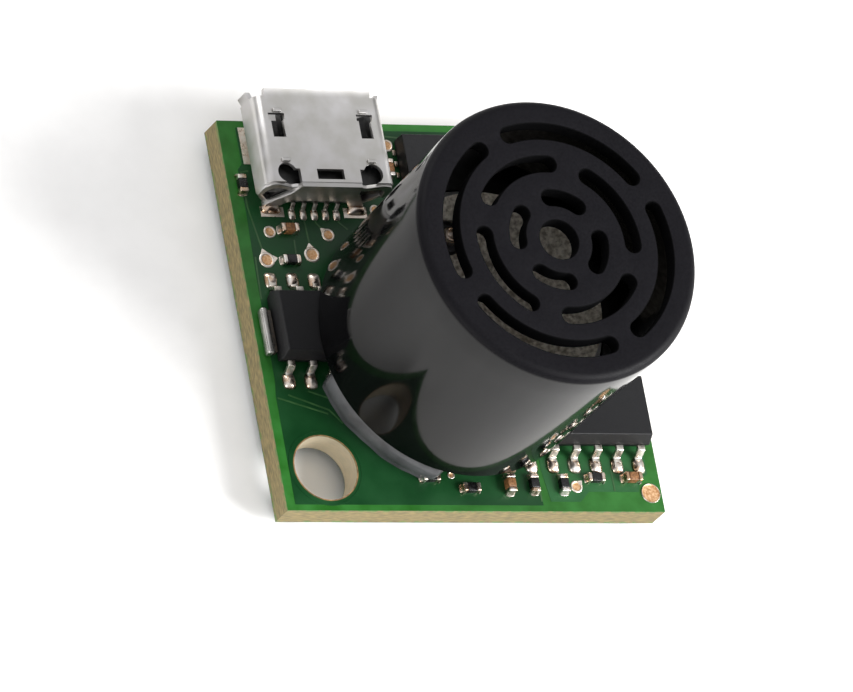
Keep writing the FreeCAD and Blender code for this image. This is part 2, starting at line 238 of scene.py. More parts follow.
# ---- Circuit board -----------------------------------------------------------
# Glass-epoxy laminate, pressed from woven plies and routed to size. Its cut
# edges are matte tan with fine darker plies and a ragged green fringe of mask.
# The walls of its two mounting holes are painted paler, a painted highlight for
# light bounced up from the floor.
root = list(frame["bodies"])[0]
laminate, laminate_shader = new_finish("routed_glass_epoxy", "#a08a5f", 0.75)
ply_colour = grain(
    laminate, laminate_shader, 0.5, 0.01, (0.6, 0.85), ("#665c3a", "#93835a"), (1, 1, 5),
)
place = add_node(laminate, "ShaderNodeTexCoord").outputs["Object"]
height = add_node(laminate, "ShaderNodeSeparateXYZ", {"Vector": place}).outputs["Z"]
flecks = add_node(laminate, "ShaderNodeTexNoise", {
    "Vector": place, "Scale": 1 / (0.5 * MM), "Detail": 3.0,
}).outputs["Fac"]
middle_z = (board_low.z + board_high.z) / 2
from_middle = add_node(laminate, "ShaderNodeMath", {0: height, 1: middle_z}, operation="SUBTRACT")
outward = add_node(laminate, "ShaderNodeMath", {0: from_middle.outputs[0]}, operation="ABSOLUTE")
edge_band = add_node(laminate, "ShaderNodeMapRange", {
    "Value": outward.outputs[0], "From Min": 0.5 * MM, "From Max": 0.76 * MM,
})
fleck_band = add_node(laminate, "ShaderNodeMapRange", {
    "Value": flecks, "From Min": 0.46, "From Max": 0.56,
})
fringe = add_node(laminate, "ShaderNodeMath", {
    0: edge_band.outputs["Result"], 1: fleck_band.outputs["Result"],
}, operation="MULTIPLY")
fringed = add_node(laminate, "ShaderNodeMix", {
    "Factor": fringe.outputs[0], 6: ply_colour, 7: srgb("#4f7a3a"),
}, data_type="RGBA")
# painted highlight: laminate within 2 mm of a hole's axis is painted paler, for light bounced up
# from the floor onto the hole walls
holes_at = [(2.64, 2.39), (19.46, 19.71)]
painted_light_reach = 2 * MM
in_plan = add_node(laminate, "ShaderNodeVectorMath", {0: place, 1: (1, 1, 0)}, operation="MULTIPLY")
from_holes = []
for hole in holes_at:
    at = on_board(*hole)
    from_holes.append(add_node(laminate, "ShaderNodeVectorMath", {
        0: in_plan.outputs[0], 1: (at.x, at.y, 0),
    }, operation="DISTANCE").outputs["Value"])
from_nearer = add_node(laminate, "ShaderNodeMath", {
    0: from_holes[0], 1: from_holes[1],
}, operation="MINIMUM")
painted_light_near_holes = add_node(laminate, "ShaderNodeMath", {
    0: from_nearer.outputs[0], 1: painted_light_reach,
}, operation="LESS_THAN")
# painted highlight: a pale tan mixed half into the laminate colour, for bounce light on the hole
# walls
painted_bounce_light = add_node(laminate, "ShaderNodeMix", {
    "Factor": 0.5, 6: ply_colour, 7: srgb("#ddd1ba"),
}, data_type="RGBA")
cut_faces_and_painted_light = add_node(laminate, "ShaderNodeMix", {
    "Factor": painted_light_near_holes.outputs[0], 6: fringed.outputs[2], 7: painted_bounce_light.outputs[2],
}, data_type="RGBA")
laminate.node_tree.links.new(cut_faces_and_painted_light.outputs[2], laminate_shader.inputs["Base Color"])


def paint(node, material):
    """Gives a CAD node's object one material in place of its own."""
    frame["nodes"][node].data.materials.clear()
    frame["nodes"][node].data.materials.append(material)


paint("circuit_board", laminate)

# ---- Solder mask and the copper under it -------------------------------------
# Green liquid mask, cured glossy. It is bright green over bare laminate at the
# board's edge, and darker and a little higher where it covers copper.
bare_mask, bare_shader = new_finish("cured_mask_on_laminate", "#256a18", 0.35, ior=1.4)
grain(bare_mask, bare_shader, 1.2, 0.004, (0.3, 0.42), ("#1f5718", "#296826"))
pour_mask, pour_shader = new_finish("cured_mask_on_copper", "#143f22", 0.32, ior=1.38)
grain(pour_mask, pour_shader, 2.5, 0.004, (0.28, 0.4), ("#0c3417", "#13421f"))
signal_mask, signal_shader = new_finish("cured_mask_on_tracks", "#1f5f2c", 0.34, ior=1.4)
grain(signal_mask, signal_shader, 1.5, 0.004, (0.3, 0.4), ("#1c4f26", "#25592f"))
paint("solder_mask_top", bare_mask)
paint("solder_mask_back", pour_mask)


def inside(loop, spots):
    """Which spots lie inside a closed loop, by counting the loop's crossings of
    a line drawn from each spot."""
    x0, y0 = loop.T
    x1, y1 = np.roll(loop, -1, axis=0).T
    px, py = spots[:, 0:1], spots[:, 1:2]
    crosses = (y0 > py) != (y1 > py)
    with np.errstate(divide="ignore", invalid="ignore"):
        at = x0 + (py - y0) * (x1 - x0) / (y1 - y0)
    return (np.sum(crosses & (px < at), axis=1) % 2).astype(bool)


def fill(outer, holes):
    """Points and triangles that fill an outer loop, less the holes in it."""
    loops = [outer] + list(holes)
    flat = np.vstack(loops)
    edges = []
    start = 0
    for loop in loops:
        count = len(loop)
        edges += [(start + k, start + (k + 1) % count) for k in range(count)]
        start += count
    found = delaunay_2d_cdt([Vector(p) for p in (flat / MM).tolist()], edges, [], 0, 1e-6)
    spots = np.array([(spot.x, spot.y) for spot in found[0]]) * MM
    triangles = np.array(found[2])
    middle = spots[triangles].mean(axis=1)
    keep = inside(outer, middle)
    for hole in holes:
        keep &= ~inside(hole, middle)
    return spots, triangles[keep]


def circle(centre, radius, count=64):
    """Points at even angles round a circle."""
    angle = np.linspace(0, 2 * np.pi, count, endpoint=False)
    return np.column_stack((
        centre[0] + radius * np.cos(angle), centre[1] + radius * np.sin(angle),
    ))


def plate(outer, holes, low, high):
    """A closed flat plate with holes: filled faces above and below, and a wall
    of squares along every edge that only one triangle of the fill uses."""
    spots, top = fill(np.asarray(outer, float), [np.asarray(h, float) for h in holes])
    count = len(spots)
    points = np.vstack((
        np.column_stack((spots, np.full(count, high))),
        np.column_stack((spots, np.full(count, low))),
    ))
    sides = np.concatenate((top[:, [0, 1]], top[:, [1, 2]], top[:, [2, 0]]))
    code = sides[:, 0] * count + sides[:, 1]
    rim = sides[~np.isin(code, sides[:, 1] * count + sides[:, 0])]
    walls = np.stack((rim[:, 0], rim[:, 1], rim[:, 1] + count, rim[:, 0] + count), axis=-1)
    return points, top.tolist() + (top[:, ::-1] + count).tolist() + walls.tolist()


def joined(parts):
    """Several (points, faces) as one."""
    points = []
    faces = []
    total = 0
    for some_points, some_faces in parts:
        points.append(np.asarray(some_points, float))
        faces += [tuple(int(v) + total for v in face) for face in some_faces]
        total += len(some_points)
    return np.vstack(points), faces


def outward_faces(piece, merge=1e-8):
    """Merges a piece's doubled points and turns all its faces outwards."""
    work = bmesh.new()
    work.from_mesh(piece.data)
    bmesh.ops.remove_doubles(work, verts=work.verts, dist=merge)
    bmesh.ops.recalc_face_normals(work, faces=work.faces)
    work.to_mesh(piece.data)
    work.free()


def flat_xy(points):
    """Board millimetres as an array of metres in the frame."""
    return np.array([tuple(on_board(x, y))[:2] for x, y in points])


def strip(points, width):
    """The outline of a track: each side runs half the width to one side of the
    line, along the mean of the two normals at each bend."""
    line = np.array(points, float)
    step = np.diff(line, axis=0)
    step /= np.linalg.norm(step, axis=1)[:, None]
    normal = np.column_stack((-step[:, 1], step[:, 0]))
    at = np.vstack((normal[:1], (normal[:-1] + normal[1:]) / 2, normal[-1:]))
    at /= np.sum(at * at, axis=1)[:, None] ** 0.5
    return np.vstack((line + at * width / 2, (line - at * width / 2)[::-1]))


relief = 0.012 * MM
hole_sides = 96
track_width = 0.09
pour_outline = (
    (0.52, 6.45), (0.5, 0.33), (14.95, 0.33), (15.05, 9.0), (15.1, 21.7), (1.0, 21.7),
    (1.0, 19.6), (0.72, 19.3), (0.75, 17.1), (0.66, 13.4), (0.62, 7.2),
)
signal_outline = (
    (15.2, 21.6), (15.2, 2.3), (15.45, 0.55), (17.2, 0.55), (17.8, 1.12), (20.75, 1.12),
    (20.95, 1.75), (21.45, 2.15), (21.5, 21.6),
)
areas = []
# each area of copper is raised under its mask, with a fine ridge round its hole
for name, outline, hole, mask in (
    ("copper_pour_relief", pour_outline, holes_at[0], pour_mask),
    ("signal_area_relief", signal_outline, holes_at[1], signal_mask),
):
    middle = on_board(*hole)
    parts = [
        plate(flat_xy(outline), [circle(middle, 1.86 * MM, hole_sides)],
              face_z, face_z + relief),
        plate(circle(middle, 2.12 * MM, hole_sides), [circle(middle, 2.02 * MM, hole_sides)],
              face_z + 0.5 * relief, face_z + 2.5 * relief),
    ]
    piece = new_piece(name, *joined(parts), [mask], smooth=False)
    outward_faces(piece)
    areas.append(piece)

tracks = (
    ((1.3, 19.22), (0.86, 19.15), (0.88, 17.1), (1.3, 14.6)),
    ((0.8, 14.3), (0.75, 13.4), (0.7, 11.9)),
    ((4.02, 16.5), (4.05, 16.2), (4.1, 14.9)),
    ((4.68, 16.5), (4.7, 16.3), (5.05, 15.9)),
    ((6.03, 16.5), (6.05, 16.35), (6.5, 15.95)),
    ((3.25, 15.3), (3.2, 14.4)),
    ((3.36, 16.5), (3.38, 16.1)),
    ((1.23, 6.48), (3.45, 5.65), (4.1, 4.9)),
    ((2.42, 6.7), (3.52, 6.33), (4.3, 5.4)),
    ((0.6, 6.3), (3.35, 5.43)),
    ((19.33, 2.4), (19.34, 1.15)),
    ((14.9, 2.4), (14.9, 0.55)),
    ((9.4, 21.4), (10.5, 21.3)),
)
track_parts = [
    plate(flat_xy(strip(line, track_width)), [], face_z, face_z + 2 * relief)
    for line in tracks
]
# the drill leaves a narrow brown lip where the mask is chipped off the laminate
lip_parts = [
    plate(circle(on_board(*hole), 1.85 * MM, hole_sides),
          [circle(on_board(*hole), 1.79 * MM, hole_sides)], face_z, face_z + 0.8 * relief)
    for hole in holes_at
]
chipped, chipped_shader = new_finish("drilled_laminate_lip", "#7c5c3a", 0.7)
grain(chipped, chipped_shader, 0.3, 0.006, (0.6, 0.8), ("#5f4429", "#96744c"))
lips = new_piece("drilled_lips", *joined(lip_parts), [chipped], smooth=False)
outward_faces(lips)
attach(lips, root)

track_mask, track_shader = new_finish("cured_mask_on_track", "#3c6b35", 0.33)
grain(track_mask, track_shader, 0.8, 0.003, (0.28, 0.4), ("#264a26", "#33592f"))
traces = new_piece("copper_tracks", *joined(track_parts), [track_mask], smooth=False)
outward_faces(traces)
for piece in (*areas, traces):
    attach(piece, root)

# ---- Round pads and vias -----------------------------------------------------
# Plated copper lands with a raised pale rim of solder round a sunken, copper
# brown middle. Each is turned on its own upright axis.


def solids_of(node):
    """The lowest and highest corners of each separate solid in a CAD node. Points
    at one place count as one, and each edge passes the lower of its two ends'
    labels along until every solid has a single label."""
    mesh = frame["nodes"][node].data
    spots = np.empty(3 * len(mesh.vertices), np.float32)
    mesh.vertices.foreach_get("co", spots)
    ends = np.empty(2 * len(mesh.edges), np.int32)
    mesh.edges.foreach_get("vertices", ends)
    spots, same = np.unique(np.round(spots.reshape(-1, 3), 7), axis=0, return_inverse=True)
    ends = same.reshape(-1)[ends.reshape(-1, 2)]
    label = np.arange(len(spots))
    before = None
    while before is None or not np.array_equal(before, label):
        before = label.copy()
        np.minimum.at(label, ends[:, 0], label[ends[:, 1]])
        np.minimum.at(label, ends[:, 1], label[ends[:, 0]])
    solids = [spots[label == one].astype(float) for one in np.unique(label)]
    return [(solid.min(axis=0), solid.max(axis=0)) for solid in solids]


def lathe(profile, centre, count=32):
    """A surface of revolution: (radius, height) points in metres spun about an
    upright axis through centre, closed where the radius is zero."""
    profile = np.array(profile, float)
    angle = np.linspace(0, 2 * np.pi, count, endpoint=False)
    x = centre[0] + profile[:, 0:1] * np.cos(angle)
    y = centre[1] + profile[:, 0:1] * np.sin(angle)
    z = np.repeat(profile[:, 1:2], count, axis=1)
    points = np.stack((x, y, z), axis=-1).reshape(-1, 3)
    rows, turns = np.meshgrid(np.arange(len(profile) - 1), np.arange(count), indexing="ij")
    a = rows * count + turns
    b = rows * count + (turns + 1) % count
    faces = np.stack((a, b, b + count, a + count), axis=-1).reshape(-1, 4)
    return points, faces


pad_rim, pad_rim_shader = new_finish("tinned_copper_rim", "#dccbb8", 0.3, metallic=0.85)
grain(pad_rim, pad_rim_shader, 0.3, 0.004, (0.26, 0.4), ("#e0cfbd", "#f6efe6"))
pad_core, pad_core_shader = new_finish("bare_copper_land", "#cf9c68", 0.4, metallic=0.6)
grain(pad_core, pad_core_shader, 0.12, 0.012, (0.3, 0.55), ("#c08a58", "#e6c096"))

pad_parts = []
pad_groups = []
pad_sides = 40
core_rows = 3
bare_from = 0.5 * MM
for low, high in solids_of("round_pads"):
    centre = (low + high) / 2
    radius = (high[0] - low[0]) / 2
    base = low[2]
    rim_share = 0.93 if radius > bare_from else 0.68
    profile = (
        (0, base + 0.022 * MM), (0.3 * rim_share * radius, base + 0.022 * MM),
        (0.8 * rim_share * radius, base + 0.026 * MM), (rim_share * radius, base + 0.036 * MM),
        ((rim_share + 0.06) * radius, base + 0.055 * MM), (0.93 * radius, base + 0.05 * MM),
        (0.985 * radius, base + 0.03 * MM), (radius, base), (0, base),
    )
    points, faces = lathe(profile, centre, pad_sides)
    pad_parts.append((points, faces))
    pad_groups += [int(face // pad_sides < core_rows) for face in range(len(faces))]
pads = new_piece("ringed_pads", *joined(pad_parts), [pad_rim, pad_core], pad_groups)
outward_faces(pads)
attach(pads, root)
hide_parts("round_pads")

# pointed tails run from some of the pads towards their tracks: the pad's x and
# y, the tail's angle, and the pad's radius
tails = (
    (1.44, 14.14, 10, 0.45), (1.44, 14.14, 105, 0.45), (4.12, 14.48, 95, 0.45),
    (5.28, 15.62, 135, 0.37), (17.1, 1.4, 42, 0.35),
)
tail_height = 0.03 * MM
tail_parts = []
for x, y, angle, radius in tails:
    along = np.array((math.cos(math.radians(angle)), math.sin(math.radians(angle))))
    across = np.array((-along[1], along[0]))
    start = np.array((x, y))
    corners = [
        start + along * out * radius + across * aside * radius
        for out, aside in ((0.55, 0.7), (0.55, -0.7), (1.42, -0.07), (1.42, 0.07))
    ]
    tail_parts.append(plate(flat_xy(corners), [], face_z, face_z + tail_height))
pad_tails = new_piece("pad_tails", *joined(tail_parts), [pad_rim], smooth=False)
outward_faces(pad_tails)
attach(pad_tails, root)

# ---- Chips -------------------------------------------------------------------
# Transfer-moulded black epoxy: satin with a fine speckle of filler, with edges
# that the mould leaves slightly round. No marking is carried.
epoxy, epoxy_shader = new_finish("moulded_black_epoxy", "#0f0f11", 0.5, ior=1.38)
grain(epoxy, epoxy_shader, 0.07, 0.004, (0.42, 0.6), ("#0b0b0d", "#151517"))


def rounded_copy(node, width, steps=2):
    """A copy of a CAD node that stands for it: its triangles merged back into
    flat faces and its sharp edges rounded by a width in millimetres."""
    source = frame["nodes"][node]
    mesh = source.data.copy()
    work = bmesh.new()
    work.from_mesh(mesh)
    doubled = 1e-7
    coplanar = math.radians(0.5)
    bmesh.ops.remove_doubles(work, verts=work.verts, dist=doubled)
    bmesh.ops.dissolve_limit(work, angle_limit=coplanar, verts=work.verts, edges=work.edges)
    work.to_mesh(mesh)
    work.free()
    mesh.polygons.foreach_set("use_smooth", [True] * len(mesh.polygons))
    copy = bpy.data.objects.new("rounded_" + node, mesh)
    bpy.context.scene.collection.objects.link(copy)
    rounding = copy.modifiers.new("rounding", "BEVEL")
    rounding.width = width * MM
    rounding.segments = steps
    rounding.limit_method = "ANGLE"
    rounding.angle_limit = math.radians(30)
    rounding.harden_normals = True
    copy.modifiers.new("flat_faces_stay_flat", "WEIGHTED_NORMAL")
    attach(copy, root)
    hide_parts(node)
    return copy


def repaint(piece, material):
    """Gives a piece one material in place of its own."""
    piece.data.materials.clear()
    piece.data.materials.append(material)
    piece.data.polygons.foreach_set("material_index", [0] * len(piece.data.polygons))


for node in ("left_chip_body", "right_chip_body", "flat_chip_body"):
    piece = rounded_copy(node, 0.05, 3)
    repaint(piece, epoxy)

# ---- Leads and solder --------------------------------------------------------
# Tin-plated copper leads, stamped and bent, each foot in a bright mound of
# reflowed solder that climbs to the toe and spreads over its pad.
tin, tin_shader = new_finish("matte_tin_plate", "#b8b4ae", 0.32, metallic=1.0)
grain(tin, tin_shader, 0.35, 0.002, (0.26, 0.38), ("#cfc6b8", "#ece8e0"))
solder, solder_shader = new_finish("reflowed_solder", "#cfcac2", 0.2, metallic=1.0)
grain(solder, solder_shader, 0.6, 0.012, (0.2, 0.36), ("#cda987", "#f4efe8"))
for node in ("left_chip_leads", "right_chip_leads"):
    piece = rounded_copy(node, 0.03)
    repaint(piece, tin)


def mound(low, high, height, lean, count=28, rings=7):
    """Solder over a small rectangle: a height of (1 - q^2)^0.7, where q is the
    distance from the middle in a rounded square's measure, tipped by lean."""
    squareness = 3.5
    middle = (low + high) / 2
    half = (high - low) / 2
    angle = np.linspace(0, 2 * np.pi, count, endpoint=False)
    share = np.linspace(1, 0, rings) ** 0.8
    c, s = np.cos(angle), np.sin(angle)
    square = (np.abs(c) ** squareness + np.abs(s) ** squareness) ** (-1 / squareness)
    x = share[:, None] * c * square * half[0]
    y = share[:, None] * s * square * half[1]
    rise = height * (1 - share[:, None] ** 2) ** 0.7 * np.ones_like(x)
    rise *= 1 + lean[0] * x / half[0] + lean[1] * y / half[1]
    points = np.stack((middle[0] + x, middle[1] + y, low[2] + rise), axis=-1).reshape(-1, 3)
    rows, turns = np.meshgrid(np.arange(rings - 1), np.arange(count), indexing="ij")
    a = rows * count + turns
    b = rows * count + (turns + 1) % count
    faces = np.stack((a, b, b + count, a + count), axis=-1).reshape(-1, 4).tolist()
    faces.append(list(range(count))[::-1])
    return points, faces


random = np.random.default_rng(7)
# the solder spreads a little past the foot, and well in under the lead's heel
aside = 0.08 * MM
outward_spread = 0.1 * MM
inward_spread = 0.62 * MM
for name in ("left_chip", "right_chip"):
    middle_y = sum(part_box(name + "_body")[k].y for k in (0, 1)) / 2
    mounds = []
    for low, high in solids_of(name + "_solder"):
        if low[1] > middle_y:
            low = low - (aside, inward_spread, 0)
            high = high + (aside, outward_spread, 0)
            lean = (random.uniform(-0.2, 0.2), 0.1)
        else:
            low = low - (aside, outward_spread, 0)
            high = high + (aside, inward_spread, 0)
            lean = (random.uniform(-0.2, 0.2), -0.1)
        mounds.append(mound(low, high, random.uniform(0.22, 0.28) * MM, lean))
    piece = new_piece(name + "_joints", *joined(mounds), [solder])
    outward_faces(piece)
    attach(piece, root)
    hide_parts(name + "_solder")
piece = rounded_copy("flat_chip_pads", 0.03)
repaint(piece, solder)

# ---- Metal-cased resonator ---------------------------------------------------
# A drawn nickel-silver can beside a dark ceramic base with small tan lands.
can_metal, can_shader = new_finish("drawn_nickel_silver", "#b9b8b4", 0.28, metallic=1.0)
grain(can_metal, can_shader, 0.3, 0.004, (0.2, 0.36), ("#a09e99", "#cfcdc8"), (1, 0.2, 1))
piece = rounded_copy("resonator_can", 0.04, 3)
repaint(piece, can_metal)
dark_base, dark_shader = new_finish("speckled_black_ceramic", "#1c1c1a", 0.6)
grain(dark_base, dark_shader, 0.12, 0.01, (0.45, 0.7), ("#0b0b0b", "#3a3126"))
piece = rounded_copy("resonator_base", 0.03)
repaint(piece, dark_base)

# ---- Chip resistors and capacitors -------------------------------------------
# Fired ceramic chips: glazed black resistors, matte brown capacitors. Both have
# dipped silver ends, and solder that wets each end in a hollow slope.
glaze, glaze_shader = new_finish("black_glazed_alumina", "#0b0b0b", 0.25)
grain(glaze, glaze_shader, 0.1, 0.004, (0.2, 0.35), ("#080808", "#131313"))
piece = rounded_copy("chip_resistors", 0.03)
repaint(piece, glaze)
fired, fired_shader = new_finish("fired_brown_titanate", "#7d5530", 0.5)
grain(fired, fired_shader, 0.1, 0.006, (0.4, 0.6), ("#5f3d20", "#96693e"))
piece = rounded_copy("chip_capacitors", 0.05)
repaint(piece, fired)
piece = rounded_copy("passive_end_caps", 0.07, 4)
repaint(piece, solder)


def slope(low, high, way, height, steps=9):
    """Solder against an end cap: across the part it is a gentle bow, and away
    from it the height falls as (1 - t)^1.8, hollow like a wetted fillet."""
    axis = 0 if way[0] else 1
    sign = way[axis]
    t = np.linspace(0, 1, steps)
    side = np.linspace(-1, 1, steps)
    tt, ss = np.meshgrid(t, side, indexing="ij")
    near = low[axis] if sign > 0 else high[axis]
    reach = high[axis] - low[axis]
    middle = (low[1 - axis] + high[1 - axis]) / 2
    half = (high[1 - axis] - low[1 - axis]) / 2
    along = near + sign * reach * (tt * (1 - 0.25 * ss ** 2) * 1.25 - 0.25)
    across = middle + half * ss * (1.25 - 0.25 * tt)
    rise = height * (1 - tt) ** 1.8 * (1 - 0.35 * ss ** 2) * (1 - ss ** 8)
    grid = np.zeros(tt.shape + (3,))
    grid[..., axis] = along
    grid[..., 1 - axis] = across
    grid[..., 2] = low[2] + rise
    under = grid.copy()
    under[..., 2] = low[2]
    points = np.concatenate((grid.reshape(-1, 3), under.reshape(-1, 3)))
    index = np.arange(steps * steps).reshape(steps, steps)
    a, b, c, d = index[:-1, :-1], index[1:, :-1], index[1:, 1:], index[:-1, 1:]
    quads = np.stack((a, b, c, d), axis=-1).reshape(-1, 4)
    below = steps * steps
    faces = quads.tolist() + (quads[:, ::-1] + below).tolist()
    back = index[0]
    for k in range(steps - 1):
        faces.append((back[k], back[k + 1], back[k + 1] + below, back[k] + below))
    return points, faces


caps_at = np.array([(low + high) / 2 for low, high in solids_of("passive_end_caps")])
slopes = []
for low, high in solids_of("passive_solder"):
    middle = (low + high) / 2
    nearest = caps_at[np.argmin(np.linalg.norm(caps_at[:, :2] - middle[:2], axis=1))]
    gap = middle[:2] - nearest[:2]
    way = [0, 0]
    longer = int(np.argmax(np.abs(gap)))
    way[longer] = 1 if gap[longer] > 0 else -1
    slopes.append(slope(low, high, way, random.uniform(0.36, 0.46) * MM))
piece = new_piece("passive_joints", *joined(slopes), [solder])
outward_faces(piece)
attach(piece, root)
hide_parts("passive_solder")

# ---- Micro-USB receptacle ----------------------------------------------------
# A shell stamped and folded from nickel-plated steel over a black plastic core,
# with five contacts in the tin plate of the chip leads, and solder at its feet.
nickel, nickel_shader = new_finish("nickel_plated_steel", "#c4c2bd", 0.34, metallic=1.0)
grain(nickel, nickel_shader, 1.2, 0.0008, (0.36, 0.44), ("#c2c0bb", "#cecccb"))
for node in ("usb_shell", "usb_spring_fingers"):
    piece = rounded_copy(node, 0.04)
    repaint(piece, nickel)
core_plastic, core_shader = new_finish("black_moulded_polymer", "#101010", 0.4)
grain(core_plastic, core_shader, 0.2, 0.004, (0.32, 0.5), ("#0c0c0c", "#181818"))
piece = rounded_copy("usb_insulator", 0.05)
repaint(piece, core_plastic)

# a curl of the shell's rear edge crosses each side gap below the roof: x and
# height of its outline, mirrored about the receptacle's middle
usb_middle = 4.68
curl_y = 17.3
curl_depth = 0.22 * MM
curl = np.array((
    (0.97, 1.1), (0.94, 1.9), (1.0, 2.2), (1.15, 2.42), (1.39, 2.52), (1.7, 2.5),
    (2.05, 2.38), (2.5, 2.2), (2.95, 2.3), (2.95, 1.95), (2.45, 1.85), (2.1, 1.98),
    (1.75, 2.08), (1.5, 2.0), (1.3, 1.75), (1.2, 1.1),
))
mirrored_curl = np.column_stack((2 * usb_middle - curl[:, 0], curl[:, 1]))[::-1]
curl_parts = []
for outline in (curl, mirrored_curl):
    bent = [tuple(on_board(x, curl_y, z)) for x, z in outline]
    front = bent[0][1]
    points, faces = plate([(x, z) for x, _, z in bent], [], front, front + curl_depth)
    curl_parts.append((points[:, [0, 2, 1]], faces))
curls = new_piece("usb_rear_curls", *joined(curl_parts), [nickel])
outward_faces(curls)
curl_edges = curls.modifiers.new("rounding", "BEVEL")
curl_edges.width = 0.05 * MM
curl_edges.segments = 3
curl_edges.harden_normals = True
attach(curls, root)

# painted shade: a thin black sheet lies along the shell's floor and up its sloping sides, darkening
# the inside of its mouth where shade falls
shade_sheet_line = ((-3.38, 2.2), (-3.38, 1.15), (-2.7, 0.34), (2.7, 0.34), (3.38, 1.15), (3.38, 2.2))
shade_sheet_ends = (17.75, 19.2, 20.6, 22.0)
shade_sheet_points = [on_board(usb_middle + x, y, z) for y in shade_sheet_ends for x, z in shade_sheet_line]
across = len(shade_sheet_line)
shade_sheet_faces = [
    (row * across + k, row * across + k + 1, (row + 1) * across + k + 1, (row + 1) * across + k)
    for row in range(len(shade_sheet_ends) - 1) for k in range(across - 1)
]
shade_sheet = new_piece("usb_mouth_shade_sheet", shade_sheet_points, shade_sheet_faces, [core_plastic], smooth=False)
shade_sheet_solid = shade_sheet.modifiers.new("sheet", "SOLIDIFY")
shade_sheet_solid.thickness = 0.05 * MM
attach(shade_sheet, root)
piece = rounded_copy("usb_contacts", 0.02)
repaint(piece, tin)
piece = rounded_copy("usb_pads", 0.015)
repaint(piece, pad_rim)
for node, spread_x, spread_y, height in (
    ("usb_contact_solder", 0.05, 0.5, 0.16), ("usb_foot_solder", 0.15, 0.1, 0.3),
):
    mounds = []
    for low, high in solids_of(node):
        low = low - (spread_x * MM, 0, 0)
        high = high + (spread_x * MM, spread_y * MM, 0)
        lean = (random.uniform(-0.3, 0.3), 0.3)
        mounds.append(mound(low, high, height * MM, lean))
    piece = new_piece(node + "_mounds", *joined(mounds), [solder])
    outward_faces(piece)
    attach(piece, root)
    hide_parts(node)

# ---- Transducer housing ------------------------------------------------------
# One injection-moulded black cup. Its side is polished, and mirrors the board;
# its slotted front face is fine matte, and the rougher walls of its slots meet
# the face in softly rounded edges. The slot walls carry painted shade: they are
# darker than the face, for the shade deep in the slots.
gloss, gloss_shader = new_finish("polished_black_moulding", "#080809", 0.05, ior=1.28)
grain(gloss, gloss_shader, 2.2, 0.0012, (0.05, 0.11), ("#060607", "#0a0a0b"))
matte, matte_shader = new_finish("matte_black_moulding", "#0c0b0f", 0.5, ior=1.2)
grain(matte, matte_shader, 0.09, 0.003, (0.45, 0.6), ("#09080c", "#0f0e12"))
# painted shade: the slot walls are darker and reflect less than the face, for the shade deep in the
# slots
slot_wall_shade, slot_wall_shade_shader = new_finish("slot_wall_painted_shade", "#060607", 0.7, ior=1.12)
grain(slot_wall_shade, slot_wall_shade_shader, 0.12, 0.004, (0.6, 0.8), ("#040405", "#09090a"))

cup_low, cup_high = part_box("transducer_housing")
axis = ((cup_low.x + cup_high.x) / 2, (cup_low.y + cup_high.y) / 2)
rim_radius = (cup_high.x - cup_low.x) / 2
foot_radius = 7.68 * MM
rim_round = 0.5 * MM
front_z = cup_high.z
ceiling_z = front_z - 0.85 * MM
bore = 7.0 * MM
centre_hole = 1.1 * MM
slot_half = 0.45 * MM
slot_round = 0.05 * MM
# each ring of slots: radius, angle of the first slot, half the angle it spans
slot_rings = ((2.35, 72.5, 20.0), (4.25, 27.0, 30.0), (6.1, 71.5, 35.5))


def slot_loop(radius, angle, half_span, half_width):
    """A slot bent along a circle about the axis: out along the larger arc, round
    one end, back along the smaller arc, and round the other end."""
    arc = np.radians(np.linspace(angle - half_span, angle + half_span, 41))
    cap = np.radians(np.linspace(0, 180, 13))[1:-1]
    r_out = radius + half_width
    r_in = radius - half_width
    outer = np.column_stack((r_out * np.cos(arc), r_out * np.sin(arc)))
    inner = np.column_stack((r_in * np.cos(arc), r_in * np.sin(arc)))[::-1]
    ends = []
    for at, turn in ((arc[-1], 0.0), (arc[0], np.pi)):
        middle = radius * np.array((np.cos(at), np.sin(at)))
        ends.append(middle + half_width * np.column_stack((
            np.cos(at + turn + cap), np.sin(at + turn + cap),
        )))
    return np.vstack((outer, ends[0], inner, ends[1])) + axis


def openings(grow):
    """The centre hole and every slot, each wider all round by grow."""
    loops = [circle(axis, centre_hole + grow, 64)]
    for radius, angle, half_span in slot_rings:
        for quarter in range(4):
            loops.append(slot_loop(
                radius * MM, angle + 90 * quarter, half_span, slot_half + grow,
            ))
    return loops


around = 256
matte_from_row = 12
side_profile = [(bore, ceiling_z), (bore - 0.1 * MM, cup_low.z), (foot_radius, cup_low.z)]
for share in np.linspace(0, 1, 9)[1:]:
    side_profile.append((
        foot_radius + share * (rim_radius - foot_radius),
        cup_low.z + share * (front_z - rim_round - cup_low.z),
    ))
for angle in np.radians(np.linspace(0, 90, 13))[1:]:
    side_profile.append((
        rim_radius - rim_round + rim_round * math.cos(angle),
        front_z - rim_round + rim_round * math.sin(angle),
    ))
side_points, side_faces = lathe(side_profile, axis, around)
side_groups = [int(face // around >= matte_from_row) for face in range(len(side_faces))]

front_flat, front_faces = fill(
    circle(axis, rim_radius - rim_round, around), openings(slot_round),
)
front_points = np.column_stack((front_flat, np.full(len(front_flat), front_z)))
back_flat, back_faces = fill(circle(axis, bore, around), openings(0.0))
back_points = np.column_stack((back_flat, np.full(len(back_flat), ceiling_z)))

